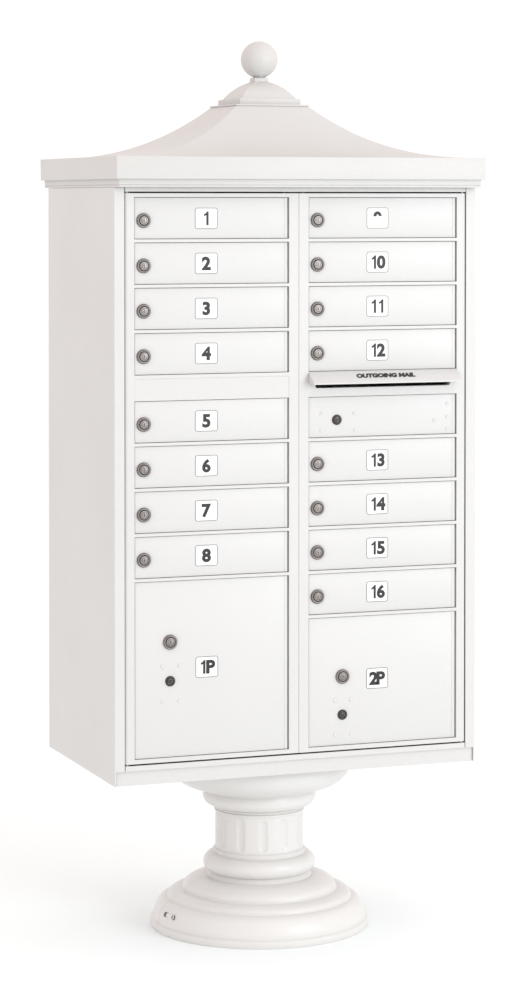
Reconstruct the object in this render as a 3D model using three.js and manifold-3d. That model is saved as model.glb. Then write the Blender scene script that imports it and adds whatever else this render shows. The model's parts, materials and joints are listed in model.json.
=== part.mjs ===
// Cluster mailbox unit on a round pedestal: a sheet cabinet with two loading frames, nineteen doors with
// their locks, a swept roof with a ball finial, and a moulded cover round the pedestal post.
// Millimetres, +Z up, front towards -Y. Origin: centre of the base, on the ground.
import * as THREE from 'three';
import { mergeVertices } from 'three/addons/utils/BufferGeometryUtils.js';
import Module from 'manifold-3d';

const wasm = await Module();
wasm.setup();

// ---- Driving dimensions ----

// cabinet
const cabinetWidth = 774.7;
const cabinetDepth = 457.2;
const pedestalHeight = 352; // ground to cabinet bottom
const sheet = 3.2; // cabinet sheet thickness
const fitGap = 0.3; // between fixed pieces that touch
const skirtHeight = 28.5;
const skirtSideGap = 1.3;
const thresholdHeight = 10.7; // visible strip below the loading frames
const headerHeight = 8.4; // visible strip above the loading frames
const flangeWidth = 20.75; // side panel's front return
const stripEndGap = 1.5; // header and threshold stop short of the flanges

// loading frames
const frameEndGap = 3; // above and below each frame
const frameHingeGap = 0.6; // frame edge to flange
const seamGap = 0.5; // between the two frames
const outerStile = 20;
const innerStile = 20.75;
const topRail = 8.8;
const bottomRailExtra = 1.55; // bottom rail's height beyond a normal rail
const frameBarrelRadius = 6; // rounded hinge edge
const pivotRadius = 2.5;
const pivotBoreGap = 0.5;
const pivotBite = 14; // how far a pivot pin reaches into the frame
const pivotBossRadius = 5;
const catchGap = 0.8; // catch lip to latch bar
const catchThickness = 3;
const catchFrameGap = 2; // catch lip above the frames
const catchHalfWidth = 20;

// door grid
const doorPitch = 89.1;
const railHeight = 8.2; // from a door's bottom to the next door's top
const doorGap = 0.9; // all round a door
const doorRecess = 2; // door face behind frame face
const doorSheet = 2.5;
const doorPanDepth = 10; // depth of the turned edges
const doorBarrelRadius = 5;
const rodRadius = 2;
const rodBoreGap = 0.4;
const rodEndCover = 2; // metal left below the rod's bore
const halfCell = 0.5; // blank band and slot band, in pitches
const blankRecess = 0.8;
const parcelCellLeft = 4; // large parcel door, in pitches
const parcelCellRight = 3;

// locks: each kind has its own head and collar
const lockKinds = {
  tenant: { head: 9, collar: 14.6, proud: 5 },
  parcel: { head: 9.4, collar: 14.8, proud: 5 },
  small: { head: 6.8, collar: 10.3, proud: 3.5 },
};
const lockBoreGap = 0.5;
const lockFaceSink = 0.6; // lock face behind the collar's rim
const lockInset = 18.6; // tenant lock axis from the door's free edge
const lockRise = 35.9; // tenant lock axis above the door's bottom edge
const camWidth = 14;
const camReach = 28.5;
const camThickness = 3;
const camGap = 0.7; // cam to the back of the frame
const camNut = { radius: 6, length: 3.2 };
const strikeOverlap = 14.5; // how far a turned cam reaches over its strike tab
const strikeHeight = 12;
const strikeThickness = 3;
const strikeGap = 1; // turned edges of a door to its strike tab
const parcelLockInset = 73;
const parcelLockDrop = 120.4;
const parcelLockPitch = 77.5;
const outgoingLockInset = 60.5;
const outgoingLockRise = 34.6;

// outgoing mail slot and hood
const slotEndInset = 14.5; // slot end to the opening's edge
const slotHeight = 22;
const slotLift = 18.4; // slot bottom above the outgoing door's top
const slotCorner = 5;
const hoodReach = 30;
const hoodDrop = 21.5; // fall of the hood's top face
const hoodLip = 2.5;
const hoodSheet = 2;
const hoodTopLift = 6.6; // hood top above the slot band's top edge

// latch bars on the backs of the frames
const latchWidth = 6;
const latchThickness = 5;
const latchInset = 3; // bar to the frame's inner edge
const latchGap = 0.4;
const latchTopDrop = 0.3; // bar top below the frame's top
const latchTail = 34; // bar bottom below the outgoing door's top
const latchHandle = { height: 26, depth: 8, rise: 4 };
const keeper = { wall: 1.8, height: 10, drops: [25, 380] }; // drops: middle below the frame's top

// compartment racks
const rackSheet = 2;
const rackSetback = 14; // rack front behind the frame's back

// roof
const capBearing = 25; // cap's bottom flange on the cabinet top
const capWall = 3;
const trimHeight = 16;
const trimOverhangY = 29;
const fasciaHeight = 44.5;
const fasciaOverhangX = 7.2;
const fasciaOverhangY = 37;
const roofRise = 106.7;
const roofCurve = 2.45; // power of the sweep: rise against run in from the eave
const roofSteps = 12;
const stepWidth = 160;
const stepHeight = 3.3;
const plinthWidth = 133;
const plinthHeight = 12.4;
const bellWidth = 119;
const bellTopWidth = 33.2;
const bellHeight = 35.3;
const bellArc = { start: 32, end: 68 }; // degrees up from level
const bellSteps = 6;
const neckWidth = 30;
const neckHeight = 9;
const cupolaWall = 8;
const ballRadius = 38.1;
const ballFoot = { radius: 13, height: 2.2 };
const studRadius = 5;
const studLength = 50;
const studBoreGap = 0.5;

// pedestal post
const postWidth = 101.6;
const postWall = 4.8;
const basePlate = { width: 280, thickness: 8 };
const topPlate = { width: 260, thickness: 6, hole: 40 };
const anchor = { pitch: 230, radius: 8 };

// pedestal cover: base mouldings are set by height above the ground, head mouldings by depth
// below the cabinet, and the shaft fills what is between
const coverWall = 4;
const coverSeam = 0.4;
const coverSegments = 32;
const coverTopGap = 1.2;
const coverHoleGap = 5; // post corner to the cover's top hole
const baseRim = { radius: 226, height: 14 };
const bulges = [
  { outer: 221, inner: 193, from: 16, to: 59 },
  { outer: 191, inner: 162, from: 61, to: 75 },
  { outer: 160, inner: 109, from: 77, to: 103 },
];
const torus = { radius: 97, tube: 19.3, height: 130 };
const baseCollar = { radius: 95.5, height: 158 };
const shaft = { radius: 91, from: 161, endDepth: 118 };
const collars = [
  { radius: 93.5, lowDepth: 116, highDepth: 110 },
  { radius: 95, lowDepth: 108.5, highDepth: 103 },
];
const ovolo = { outer: 117.5, inner: 95, lowDepth: 103, highDepth: 81 };
const lip = { radius: 120.5, neck: 114.5, neckDepth: 71, lowDepth: 70, highDepth: 65 };
const bowl = { inner: 121, outer: 190, lowDepth: 64, highDepth: 12 };

// ---- Sizes worked out from them ----

const halfWidth = cabinetWidth / 2;
const front = -cabinetDepth / 2;
const back = cabinetDepth / 2;
const cellCounts = { left: 8, right: 9 };
const columnHeight = (cellCounts.left + halfCell + parcelCellLeft) * doorPitch;
const z0 = pedestalHeight;
const frameBottom = z0 + skirtHeight + thresholdHeight + frameEndGap;
const columnBottom = frameBottom + bottomRailExtra;
const columnTop = columnBottom + columnHeight;
const frameTop = columnTop + topRail;
const cabinetTop = frameTop + frameEndGap + headerHeight;
const frameDepth = doorRecess + doorPanDepth + strikeGap + strikeThickness;
const frameBack = front + frameDepth;
const frameEdge = halfWidth - flangeWidth - frameHingeGap;
const openingOuter = frameEdge - outerStile;
const openingInner = seamGap / 2 + innerStile;
const pivotX = frameEdge - frameBarrelRadius;
const pivotY = front + frameBarrelRadius;
const doorFace = front + doorRecess;
const rodY = doorFace + doorBarrelRadius;
const floorTop = z0 + skirtHeight + sheet;
const camFront = frameBack + camGap;
const latchFront = frameBack + latchGap;

// ---- Solids ----

const weld = 0.5; // joined solids run this far into each other
const overcut = 1; // cutting solids run this far past the face they cut

function signedVolume(geometry) {
  const p = geometry.attributes.position;
  const index = geometry.index;
  const [a, b, c] = [new THREE.Vector3(), new THREE.Vector3(), new THREE.Vector3()];
  let sum = 0;
  for (let i = 0; i < index.count; i += 3) {
    a.fromBufferAttribute(p, index.getX(i));
    b.fromBufferAttribute(p, index.getX(i + 1));
    c.fromBufferAttribute(p, index.getX(i + 2));
    sum += a.dot(b.cross(c));
  }
  return sum / 6;
}

// a closed three.js geometry as a manifold solid, with its faces turned outwards
function solid(geometry) {
  geometry.deleteAttribute('normal');
  geometry.deleteAttribute('uv');
  const merged = mergeVertices(geometry, 1e-4);
  const triVerts = new Uint32Array(merged.index.array);
  if (signedVolume(merged) < 0) {
    for (let i = 0; i < triVerts.length; i += 3) {
      [triVerts[i], triVerts[i + 1]] = [triVerts[i + 1], triVerts[i]];
    }
  }
  const vertProperties = new Float32Array(merged.attributes.position.array);
  return new wasm.Manifold(new wasm.Mesh({ numProp: 3, vertProperties, triVerts }));
}

function geometryOf(body) {
  const mesh = body.getMesh();
  const geometry = new THREE.BufferGeometry();
  geometry.setAttribute('position', new THREE.BufferAttribute(mesh.vertProperties, 3));
  geometry.setIndex(new THREE.BufferAttribute(mesh.triVerts, 1));
  geometry.computeVertexNormals();
  return geometry;
}

function box(x0, x1, y0, y1, zLow, zHigh) {
  const geometry = new THREE.BoxGeometry(Math.abs(x1 - x0), y1 - y0, zHigh - zLow);
  geometry.translate((x0 + x1) / 2, (y0 + y1) / 2, (zLow + zHigh) / 2);
  return solid(geometry);
}

function rodZ(radius, x, y, zLow, zHigh, segments = 10) {
  const geometry = new THREE.CylinderGeometry(radius, radius, zHigh - zLow, segments);
  geometry.rotateX(Math.PI / 2);
  geometry.translate(x, y, (zLow + zHigh) / 2);
  return solid(geometry);
}

function rodAlongY(radius, x, z, y0, y1, segments = 16) {
  const geometry = new THREE.CylinderGeometry(radius, radius, y1 - y0, segments);
  geometry.translate(x, (y0 + y1) / 2, z);
  return solid(geometry);
}

function outline(points) {
  return new THREE.Shape(points.map(([u, v]) => new THREE.Vector2(u, v)));
}

// an outline in (y, z) pushed along X
function alongX(shape, x0, x1) {
  const geometry = new THREE.ExtrudeGeometry(shape, { depth: x1 - x0, bevelEnabled: false });
  const turn = new THREE.Matrix4().makeBasis(
    new THREE.Vector3(0, 1, 0),
    new THREE.Vector3(0, 0, 1),
    new THREE.Vector3(1, 0, 0),
  );
  geometry.applyMatrix4(turn);
  geometry.translate(x0, 0, 0);
  return solid(geometry);
}

// an outline in (x, z) pushed along Y
function alongY(shape, y0, y1) {
  const options = { depth: y1 - y0, bevelEnabled: false, curveSegments: 4 };
  const geometry = new THREE.ExtrudeGeometry(shape, options);
  const turn = new THREE.Matrix4().makeBasis(
    new THREE.Vector3(1, 0, 0),
    new THREE.Vector3(0, 0, 1),
    new THREE.Vector3(0, -1, 0),
  );
  geometry.applyMatrix4(turn);
  geometry.translate(0, y1, 0);
  return solid(geometry);
}

function turned(profile, segments) {
  const points = profile.map(([r, z]) => new THREE.Vector2(r, z));
  const geometry = new THREE.LatheGeometry(points, segments);
  geometry.rotateX(Math.PI / 2);
  return solid(geometry);
}

function join(parts) {
  return parts.reduce((sum, part) => sum.add(part));
}

function cut(body, tools) {
  return tools.reduce((rest, tool) => rest.subtract(tool), body);
}

// points of an elliptical arc from one angle to another, in degrees
function arc(centreR, centreZ, radiusR, radiusZ, from, to, steps) {
  const points = [];
  for (let i = 0; i <= steps; i += 1) {
    const angle = THREE.MathUtils.degToRad(from + ((to - from) * i) / steps);
    points.push([centreR + radiusR * Math.cos(angle), centreZ + radiusZ * Math.sin(angle)]);
  }
  return points;
}

// ---- Finishes ----

const finishes = {
  cabinetWhite: { color: 0xf3f1ef, roughness: 0.45, metalness: 0 },
  roofWhite: { color: 0xf0eeeb, roughness: 0.5, metalness: 0 },
  pedestalWhite: { color: 0xf0ece9, roughness: 0.4, metalness: 0 },
  bareAluminium: { color: 0xb9bcbf, roughness: 0.45, metalness: 0.9 },
  lockNickel: { color: 0x8f8d8b, roughness: 0.35, metalness: 0.9 },
  rodSteel: { color: 0xa4a6a8, roughness: 0.35, metalness: 0.9 },
  postSteel: { color: 0xe6e4e2, roughness: 0.5, metalness: 0.1 },
};

const unit = new THREE.Group();

function place(name, body, finish) {
  const mesh = new THREE.Mesh(geometryOf(body), new THREE.MeshStandardMaterial(finishes[finish]));
  mesh.name = name;
  unit.add(mesh);
}

// ---- Cabinet ----

function sidePanel(side) {
  const outer = side * halfWidth;
  const inner = side * (halfWidth - sheet);
  const flangeEdge = side * (halfWidth - flangeWidth);
  const web = box(outer, inner, front, back, z0, cabinetTop);
  const flange = box(outer, flangeEdge, front, front + sheet, z0 + skirtHeight, cabinetTop);
  return web.add(flange);
}

function backPanel() {
  const half = halfWidth - sheet - fitGap;
  return box(-half, half, back - sheet, back, z0, cabinetTop);
}

const plateHalf = halfWidth - sheet - fitGap;
const plateFront = front + sheet + fitGap;
const plateBack = back - sheet - fitGap;
const stripHalf = halfWidth - flangeWidth - stripEndGap;

function topPanel() {
  const parts = [
    box(-plateHalf, plateHalf, plateFront, plateBack, cabinetTop - sheet, cabinetTop),
    box(-stripHalf, stripHalf, front, plateFront + sheet, cabinetTop - sheet, cabinetTop),
    box(-stripHalf, stripHalf, front, front + sheet, cabinetTop - headerHeight, cabinetTop),
  ];
  const catchBack = latchFront - catchGap;
  const catchLow = frameTop + catchFrameGap;
  const catchHigh = cabinetTop - sheet + weld;
  parts.push(box(
    -catchHalfWidth,
    catchHalfWidth,
    catchBack - catchThickness,
    catchBack,
    catchLow,
    catchHigh,
  ));
  const pinEnd = frameTop - pivotBite;
  const bossEnd = cabinetTop - headerHeight;
  for (const side of [-1, 1]) {
    parts.push(rodZ(pivotBossRadius, side * pivotX, pivotY, bossEnd, cabinetTop - sheet / 2, 16));
    parts.push(rodZ(pivotRadius, side * pivotX, pivotY, pinEnd, cabinetTop - sheet / 2));
  }
  return join(parts);
}

function floorPanel() {
  const plateBottom = z0 + skirtHeight;
  const thresholdTop = plateBottom + thresholdHeight;
  const skirtHalf = halfWidth - sheet - skirtSideGap;
  const parts = [
    box(-plateHalf, plateHalf, plateFront, plateBack, plateBottom, floorTop),
    box(-stripHalf, stripHalf, front, plateFront + sheet, plateBottom, floorTop),
    box(-stripHalf, stripHalf, front, front + sheet, plateBottom, thresholdTop),
    box(-skirtHalf, skirtHalf, plateFront, plateFront + sheet, z0, plateBottom + sheet / 2),
  ];
  const pinEnd = frameBottom + pivotBite;
  for (const side of [-1, 1]) {
    parts.push(rodZ(pivotBossRadius, side * pivotX, pivotY, plateBottom + sheet / 2, thresholdTop, 16));
    parts.push(rodZ(pivotRadius, side * pivotX, pivotY, plateBottom + sheet / 2, pinEnd));
  }
  return join(parts);
}

// ---- Door grid ----

function doorCell(name, lock, top, height) {
  return { name, lock, top, bottom: top - height + railHeight };
}

function tenantRows(first, last) {
  const rows = [];
  for (let number = first; number <= last; number += 1) {
    rows.push({ name: `tenant_door_${String(number).padStart(2, '0')}`, lock: 'tenant', units: 1 });
  }
  return rows;
}

// each column's rows from the top down: `units` are door pitches, and a row with no name has no door
const columns = {
  left: [
    ...tenantRows(1, 4),
    { units: halfCell },
    ...tenantRows(5, 8),
    { name: 'parcel_door_1', lock: 'parcel', units: parcelCellLeft },
  ],
  right: [
    ...tenantRows(9, 12),
    { units: halfCell, openBelow: true },
    { name: 'outgoing_mail_door', lock: 'outgoing', units: 1 },
    ...tenantRows(13, 16),
    { name: 'parcel_door_2', lock: 'parcel', units: parcelCellRight },
  ],
};

function columnCells(column) {
  const cells = [];
  let top = columnTop;
  for (const { name, lock, units } of columns[column]) {
    const height = units * doorPitch;
    if (name) cells.push(doorCell(name, lock, top, height));
    top -= height;
  }
  return cells;
}

const rowsAboveBlank = 4;
const blankTop = columnTop - rowsAboveBlank * doorPitch;
const blankBottom = blankTop - halfCell * doorPitch;

// the x range of a column's openings: free edge (lock side) first, hinge edge second
const columnEdges = {
  left: { free: -openingOuter, hinge: -openingInner },
  right: { free: openingInner, hinge: openingOuter },
};

// the locks of one door: node name, kind and axis position
function locksOf(cell, column) {
  const free = columnEdges[column].free + doorGap;
  const number = cell.name.replace(/^\D+/, '');
  if (cell.lock === 'tenant') {
    const z = cell.bottom + lockRise;
    return [{ name: `tenant_lock_${number}`, kind: 'tenant', x: free + lockInset, z }];
  }
  if (cell.lock === 'outgoing') {
    const z = cell.bottom + outgoingLockRise;
    return [{ name: 'outgoing_mail_lock', kind: 'small', x: free + outgoingLockInset, z }];
  }
  const x = free + parcelLockInset;
  const z = cell.top - parcelLockDrop;
  return [
    { name: `parcel_lock_${number}`, kind: 'parcel', x, z },
    { name: `carrier_lock_${number}`, kind: 'small', x, z: z - parcelLockPitch },
  ];
}

// ---- Loading frames ----

function frameBlank(side) {
  const inner = (side * seamGap) / 2;
  return join([
    box(inner, side * pivotX, front, frameBack, frameBottom, frameTop),
    box(side * pivotX, side * frameEdge, pivotY, frameBack, frameBottom, frameTop),
    rodZ(frameBarrelRadius, side * pivotX, pivotY, frameBottom, frameTop, 24),
  ]);
}

function slotCutter() {
  const x0 = openingInner + slotEndInset;
  const x1 = openingOuter - slotEndInset;
  const low = blankBottom + slotLift;
  const high = low + slotHeight;
  const shape = new THREE.Shape();
  shape.moveTo(x0, high);
  shape.lineTo(x0, low + slotCorner);
  shape.absarc(x0 + slotCorner, low + slotCorner, slotCorner, Math.PI, 1.5 * Math.PI, false);
  shape.lineTo(x1 - slotCorner, low);
  shape.absarc(x1 - slotCorner, low + slotCorner, slotCorner, 1.5 * Math.PI, 2 * Math.PI, false);
  shape.lineTo(x1, high);
  return alongY(shape, front - overcut, frameBack + overcut);
}

// a staple behind the frame that a latch bar slides through
function keeperAt(side, z) {
  const inner = side * (seamGap / 2 + latchInset);
  const outer = inner + side * latchWidth;
  const hollowBack = latchFront + latchThickness + latchGap;
  const low = z - keeper.height / 2;
  const high = z + keeper.height / 2;
  const clear = side * latchGap;
  const wall = side * keeper.wall;
  const block = box(
    inner - clear - wall,
    outer + clear + wall,
    frameBack - weld,
    hollowBack + keeper.wall,
    low,
    high,
  );
  return block.subtract(box(
    inner - clear,
    outer + clear,
    frameBack,
    hollowBack,
    low - overcut,
    high + overcut,
  ));
}

function loadingFrame(column) {
  const side = column === 'left' ? -1 : 1;
  const { free, hinge } = columnEdges[column];
  const cells = columnCells(column);
  const tools = cells.map((cell) => box(
    free,
    hinge,
    front - overcut,
    frameBack + overcut,
    cell.bottom - doorGap,
    cell.top + doorGap,
  ));
  const added = keeper.drops.map((drop) => keeperAt(side, frameTop - drop));
  for (const cell of cells) {
    if (cell.lock === 'tenant') continue;
    for (const lock of locksOf(cell, column)) {
      const tip = lock.x - camReach + strikeOverlap;
      const y0 = frameBack - strikeThickness;
      const half = strikeHeight / 2;
      added.push(box(free - weld, tip, y0, frameBack, lock.z - half, lock.z + half));
    }
  }
  const rodX = hinge - doorGap - doorBarrelRadius;
  const rodLow = frameBottom + rodEndCover;
  tools.push(rodZ(rodRadius + rodBoreGap, rodX, rodY, rodLow, frameTop + overcut));
  const pinBore = pivotRadius + pivotBoreGap;
  const bite = pivotBite + frameEndGap / 2;
  tools.push(rodZ(pinBore, side * pivotX, pivotY, frameTop - bite, frameTop + overcut, 12));
  tools.push(rodZ(pinBore, side * pivotX, pivotY, frameBottom - overcut, frameBottom + bite, 12));
  if (column === 'left') {
    tools.push(box(free, hinge, front - overcut, front + blankRecess, blankBottom, blankTop));
  } else {
    tools.push(slotCutter());
  }
  return join([cut(frameBlank(side), tools), ...added]);
}

function hingeRod(column) {
  const rodX = columnEdges[column].hinge - doorGap - doorBarrelRadius;
  return rodZ(rodRadius, rodX, rodY, frameBottom + rodEndCover + fitGap, frameTop - fitGap);
}

function latchBar(side) {
  const inner = side * (seamGap / 2 + latchInset);
  const outer = inner + side * latchWidth;
  const low = blankBottom - latchTail;
  const handleLow = low + latchHandle.rise;
  const barBack = latchFront + latchThickness;
  const bar = box(inner, outer, latchFront, barBack, low, frameTop - latchTopDrop);
  return bar.add(box(
    inner,
    outer,
    barBack - weld,
    barBack + latchHandle.depth,
    handleLow,
    handleLow + latchHandle.height,
  ));
}

function outgoingHood() {
  const x0 = openingInner;
  const x1 = openingOuter;
  const high = blankTop + hoodTopLift;
  const rear = front - fitGap;
  const tip = rear - hoodReach;
  const low = high - hoodDrop - hoodLip;
  const skin = outline([[rear, high], [tip, low + hoodLip], [tip, low], [rear, low]]);
  const fall = hoodDrop / hoodReach; // slope of the top face
  const roofDrop = hoodSheet * Math.hypot(1, fall); // the sheet measured straight down
  const innerTip = tip + hoodSheet;
  const hollow = outline([
    [rear + overcut, high + overcut * fall - roofDrop],
    [innerTip, low + hoodLip + hoodSheet * fall - roofDrop],
    [innerTip, low - overcut],
    [rear + overcut, low - overcut],
  ]);
  return alongX(skin, x0, x1).subtract(alongX(hollow, x0 + hoodSheet, x1 - hoodSheet));
}

// ---- Doors and locks ----

function door(cell, column) {
  const free = columnEdges[column].free + doorGap;
  const hinge = columnEdges[column].hinge - doorGap;
  const axisX = hinge - doorBarrelRadius;
  const { top, bottom } = cell;
  const rear = doorFace + doorPanDepth;
  const parts = [
    box(free, axisX, doorFace, doorFace + doorSheet, bottom, top),
    box(free, free + doorSheet, doorFace, rear, bottom, top),
    box(free, axisX, doorFace, rear, top - doorSheet, top),
    box(free, axisX, doorFace, rear, bottom, bottom + doorSheet),
    rodZ(doorBarrelRadius, axisX, rodY, bottom, top, 12),
  ];
  const tools = [rodZ(rodRadius + rodBoreGap, axisX, rodY, bottom - overcut, top + overcut)];
  for (const lock of locksOf(cell, column)) {
    const { head, collar, proud } = lockKinds[lock.kind];
    const rim = doorFace - proud;
    parts.push(rodAlongY(collar, lock.x, lock.z, rim, doorFace + doorSheet / 2));
    tools.push(rodAlongY(head + lockBoreGap, lock.x, lock.z, rim - overcut, rear));
  }
  return cut(join(parts), tools);
}

function lockSolid(lock) {
  const { head, proud } = lockKinds[lock.kind];
  const camBack = camFront + camThickness;
  const half = camWidth / 2;
  return join([
    rodAlongY(head, lock.x, lock.z, doorFace - proud + lockFaceSink, camFront + weld),
    box(lock.x - half, lock.x + half, camFront, camBack, lock.z - camReach, lock.z + half),
    rodAlongY(camNut.radius, lock.x, lock.z, camBack - weld, camBack + camNut.length, 6),
  ]);
}

// ---- Compartment racks ----

// shelf middles: one in line with every rail, but none where a row is open below
function shelfHeights(column) {
  const heights = [columnTop];
  let top = columnTop;
  for (const { units, openBelow } of columns[column]) {
    top -= units * doorPitch;
    if (!openBelow) heights.push(top);
  }
  return heights.map((z) => z + railHeight / 2);
}

function rack(column) {
  const side = column === 'left' ? -1 : 1;
  const y0 = frameBack + rackSetback;
  const y1 = back - sheet - fitGap;
  const low = floorTop + fitGap;
  const high = cabinetTop - sheet - fitGap;
  const outer = side * openingOuter;
  const inner = side * openingInner;
  const parts = [
    box(outer, outer + side * rackSheet, y0, y1, low, high),
    box(inner, inner - side * rackSheet, y0, y1, low, high),
  ];
  for (const z of shelfHeights(column)) {
    parts.push(box(
      outer + side * (rackSheet / 2),
      inner - side * (rackSheet / 2),
      y0,
      y1,
      z - rackSheet / 2,
      z + rackSheet / 2,
    ));
  }
  return join(parts);
}

// ---- Roof ----

// right half of the swept outline from the eave up, as [half width, height] pairs
function sweep(eaveHalf, topHalf, eaveZ, topZ) {
  const points = [];
  for (let i = 0; i <= roofSteps; i += 1) {
    const run = i / roofSteps;
    points.push([eaveHalf + (topHalf - eaveHalf) * run, eaveZ + (topZ - eaveZ) * run ** roofCurve]);
  }
  return points;
}

// the block that two mirrored half outlines leave where they cross
function crossed(halfX, halfY, lowZ) {
  const closed = (half) => outline([
    [half[0][0], lowZ],
    ...half,
    ...half.map(([u, z]) => [-u, z]).reverse(),
    [-half[0][0], lowZ],
  ]);
  const reachX = halfX[0][0] + overcut;
  const reachY = halfY[0][0] + overcut;
  return alongY(closed(halfX), -reachY, reachY).intersect(alongX(closed(halfY), -reachX, reachX));
}

const capBottom = cabinetTop + fitGap;
const fasciaBottom = capBottom + trimHeight;
const eave = fasciaBottom + fasciaHeight;
const roofTop = eave + roofRise;

function sweptBlock(inset, drop, lowZ) {
  const halfX = halfWidth + fasciaOverhangX - inset;
  const halfY = cabinetDepth / 2 + fasciaOverhangY - inset;
  const topHalf = stepWidth / 2 - inset;
  return crossed(
    sweep(halfX, topHalf, eave - drop, roofTop - drop),
    sweep(halfY, topHalf, eave - drop, roofTop - drop),
    lowZ,
  );
}

function trimBlock(inset, lowZ, highZ) {
  const halfX = halfWidth - inset;
  const halfY = cabinetDepth / 2 + trimOverhangY - inset;
  return box(-halfX, halfX, -halfY, halfY, lowZ, highZ);
}

function roofCap() {
  const skin = sweptBlock(0, 0, fasciaBottom).add(trimBlock(0, capBottom, fasciaBottom + capWall));
  const mouthX = halfWidth - capBearing;
  const mouthY = cabinetDepth / 2 - capBearing;
  return cut(skin, [
    sweptBlock(capWall, capWall, fasciaBottom + capWall),
    trimBlock(capWall, capBottom + capWall, fasciaBottom + capWall + overcut),
    box(-mouthX, mouthX, -mouthY, mouthY, capBottom - overcut, capBottom + capWall + overcut),
  ]);
}

const stepBottom = roofTop + fitGap;
const plinthBottom = stepBottom + stepHeight;
const bellBottom = plinthBottom + plinthHeight;
const neckBottom = bellBottom + bellHeight;
const neckTop = neckBottom + neckHeight;

function squareBlock(width, lowZ, highZ) {
  return box(-width / 2, width / 2, -width / 2, width / 2, lowZ, highZ);
}

function roofCupola() {
  const start = THREE.MathUtils.degToRad(bellArc.start);
  const end = THREE.MathUtils.degToRad(bellArc.end);
  const across = (bellWidth - bellTopWidth) / 2 / (Math.cos(start) - Math.cos(end));
  const up = bellHeight / (Math.sin(end) - Math.sin(start));
  const middle = bellTopWidth / 2 - across * Math.cos(end);
  const foot = bellBottom - up * Math.sin(start);
  const bell = arc(middle, foot, across, up, bellArc.start, bellArc.end, bellSteps);
  const skin = join([
    squareBlock(stepWidth, stepBottom, plinthBottom),
    squareBlock(plinthWidth, plinthBottom - weld, bellBottom),
    crossed(bell, bell, bellBottom - weld),
    squareBlock(neckWidth, neckBottom - weld, neckTop),
  ]);
  return cut(skin, [
    squareBlock(bellWidth - 2 * cupolaWall, stepBottom - overcut, bellBottom),
    rodZ(studRadius + studBoreGap, 0, 0, stepBottom, neckTop + overcut),
  ]);
}

function finialBall() {
  const footBottom = neckTop + fitGap;
  const footTop = footBottom + ballFoot.height;
  const flat = Math.sqrt(ballRadius ** 2 - ballFoot.radius ** 2);
  const ball = new THREE.SphereGeometry(ballRadius, 24, 14);
  ball.rotateX(Math.PI / 2);
  ball.translate(0, 0, footTop + flat - weld);
  return join([
    solid(ball),
    rodZ(ballFoot.radius, 0, 0, footBottom, footTop + weld, 24),
    rodZ(studRadius, 0, 0, footBottom - studLength, footBottom + weld),
  ]);
}

// ---- Pedestal ----

function pedestalPost() {
  const top = z0 + skirtHeight - fitGap;
  const plateLow = top - topPlate.thickness;
  const plates = join([
    squareBlock(basePlate.width, 0, basePlate.thickness),
    squareBlock(postWidth, basePlate.thickness - weld, plateLow + weld),
    squareBlock(topPlate.width, plateLow, top),
  ]);
  const tools = [
    squareBlock(postWidth - 2 * postWall, basePlate.thickness, plateLow),
    rodZ(topPlate.hole, 0, 0, plateLow - overcut, top + overcut, 24),
  ];
  for (const sx of [-1, 1]) {
    for (const sy of [-1, 1]) {
      const x = (sx * anchor.pitch) / 2;
      const y = (sy * anchor.pitch) / 2;
      tools.push(rodZ(anchor.radius, x, y, -overcut, basePlate.thickness + overcut));
      tools.push(rodZ(anchor.radius, x, y, plateLow - overcut, top + overcut));
    }
  }
  return cut(plates, tools);
}

// the cover's outline from the ground up, moved in by `inset`: the base mouldings drop by it, the head
// mouldings rise by it, and every arc is drawn in `steps` straight pieces
function coverOutline(inset, lowZ, highZ, steps) {
  const headZ = (depth) => z0 - depth + inset;
  const points = [[baseRim.radius - inset, lowZ], [baseRim.radius - inset, baseRim.height - inset]];
  for (const { outer, inner, from, to } of bulges) {
    points.push(...arc(inner - inset, from - inset, outer - inner, to - from, 0, 90, steps));
  }
  points.push(...arc(torus.radius - inset, torus.height, torus.tube, torus.tube, -70, 85, steps + 1));
  points.push([baseCollar.radius - inset, torus.height + torus.tube + 1]);
  points.push([baseCollar.radius - inset, baseCollar.height]);
  points.push([shaft.radius - inset, shaft.from], [shaft.radius - inset, z0 - shaft.endDepth]);
  for (const { radius, lowDepth, highDepth } of collars) {
    points.push([radius - inset, z0 - lowDepth], [radius - inset, z0 - highDepth]);
  }
  const ovoloRise = ovolo.lowDepth - ovolo.highDepth;
  const ovoloRun = ovolo.outer - ovolo.inner;
  points.push(...arc(ovolo.inner - inset, headZ(ovolo.highDepth), ovoloRun, ovoloRise, -80, 0, steps));
  points.push([lip.neck - inset, headZ(lip.neckDepth)], [lip.radius - inset, headZ(lip.lowDepth)]);
  points.push([lip.radius - inset, headZ(lip.highDepth)]);
  const bowlRise = bowl.lowDepth - bowl.highDepth;
  const bowlRun = bowl.outer - bowl.inner;
  points.push(...arc(bowl.inner - inset, headZ(bowl.highDepth), bowlRun, bowlRise, -90, 0, steps + 1));
  points.push([bowl.outer - inset, highZ]);
  return points;
}

function turnedSolid(points) {
  const low = points[0][1];
  const high = points[points.length - 1][1];
  return turned([[0, low], ...points, [0, high]], coverSegments);
}

function coverHalf(side) {
  const top = z0 - coverTopGap;
  const skin = turnedSolid(coverOutline(0, 0, top, 4));
  const hollow = turnedSolid(coverOutline(coverWall, -overcut, top - coverWall, 2));
  const holeRadius = (postWidth / 2) * Math.SQRT2 + coverHoleGap;
  const hole = rodZ(holeRadius, 0, 0, top - coverWall - overcut, top + overcut, coverSegments);
  const reach = baseRim.radius + overcut;
  const near = (side * coverSeam) / 2;
  const y0 = side < 0 ? -reach : near;
  const y1 = side < 0 ? near : reach;
  return cut(skin, [hollow, hole]).intersect(box(-reach, reach, y0, y1, -overcut, top + overcut));
}

// ---- Assembly ----

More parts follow.
